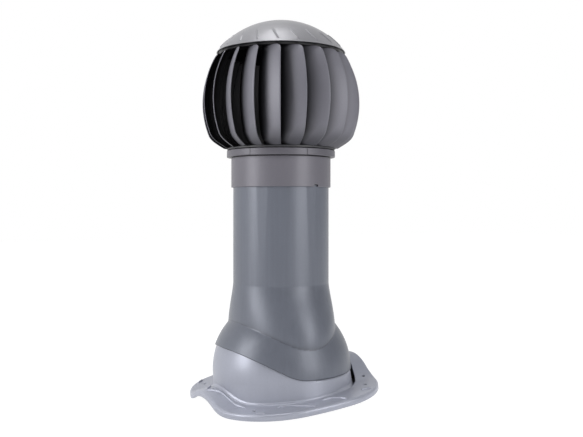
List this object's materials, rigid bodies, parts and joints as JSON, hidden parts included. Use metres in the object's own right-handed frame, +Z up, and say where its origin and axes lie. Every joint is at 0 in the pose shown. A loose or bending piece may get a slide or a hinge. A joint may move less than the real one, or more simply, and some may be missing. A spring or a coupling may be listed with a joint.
{
  "type": "rotating chimney cowl",
  "caption": "Wind-driven turbine cowl of curled blades under a domed cap, on a round roof outlet pipe with a ball-jointed hood over a waved base plate.",
  "frame": {"origin": "on the pipe's axis, at the lower mouth of the duct spigot", "axes": "+Z up along the pipe, +X up the roof slope, so the base plate rises along +X by its 5.3 degree pitch"},
  "size_m": [0.2873, 0.31, 0.6309],
  "materials": {
    "base_plastic": "satin moulded",
    "pipe_plastic": "satin moulded",
    "head_plastic": "satin moulded",
    "blade_plastic": "satin moulded",
    "cap_plastic": "satin moulded",
    "plated_steel": "zinc plated",
    "screw_steel": "dark coated",
    "bearing_steel": "ground"
  },
  "bodies": {
    "stand": {"roof_flange": "base_plastic", "outlet_pipe": "pipe_plastic", "neck_collar": "head_plastic", "bearing_bracket": "head_plastic", "axle": "plated_steel", "axle_washers": "plated_steel", "axle_nuts": "plated_steel", "bearing_spacer": "plated_steel", "retaining_rings": "plated_steel", "lower_bearing_inner_race": "bearing_steel", "lower_bearing_balls": "bearing_steel", "upper_bearing_inner_race": "bearing_steel", "upper_bearing_balls": "bearing_steel"},
    "rotor": {"rotor_cap": "cap_plastic", "cap_screws": "screw_steel", "blade_ring": "head_plastic", "bearing_housing": "head_plastic", "housing_screws": "plated_steel", "lower_bearing_outer_race": "bearing_steel", "upper_bearing_outer_race": "bearing_steel", "blade_01": "blade_plastic", "blade_02": "blade_plastic", "blade_03": "blade_plastic", "blade_04": "blade_plastic", "blade_05": "blade_plastic", "blade_06": "blade_plastic", "blade_07": "blade_plastic", "blade_08": "blade_plastic", "blade_09": "blade_plastic", "blade_10": "blade_plastic", "blade_11": "blade_plastic", "blade_12": "blade_plastic", "blade_13": "blade_plastic", "blade_14": "blade_plastic", "blade_15": "blade_plastic", "blade_16": "blade_plastic", "blade_17": "blade_plastic", "blade_18": "blade_plastic", "blade_19": "blade_plastic", "blade_20": "blade_plastic"}
  },
  "joints": [
    {"name": "rotor_spin", "type": "hinge", "parent": "stand", "child": "rotor", "pos_m": [0, 0, 0.54], "axis": [0, 0, 1], "continuous": true}
  ]
}
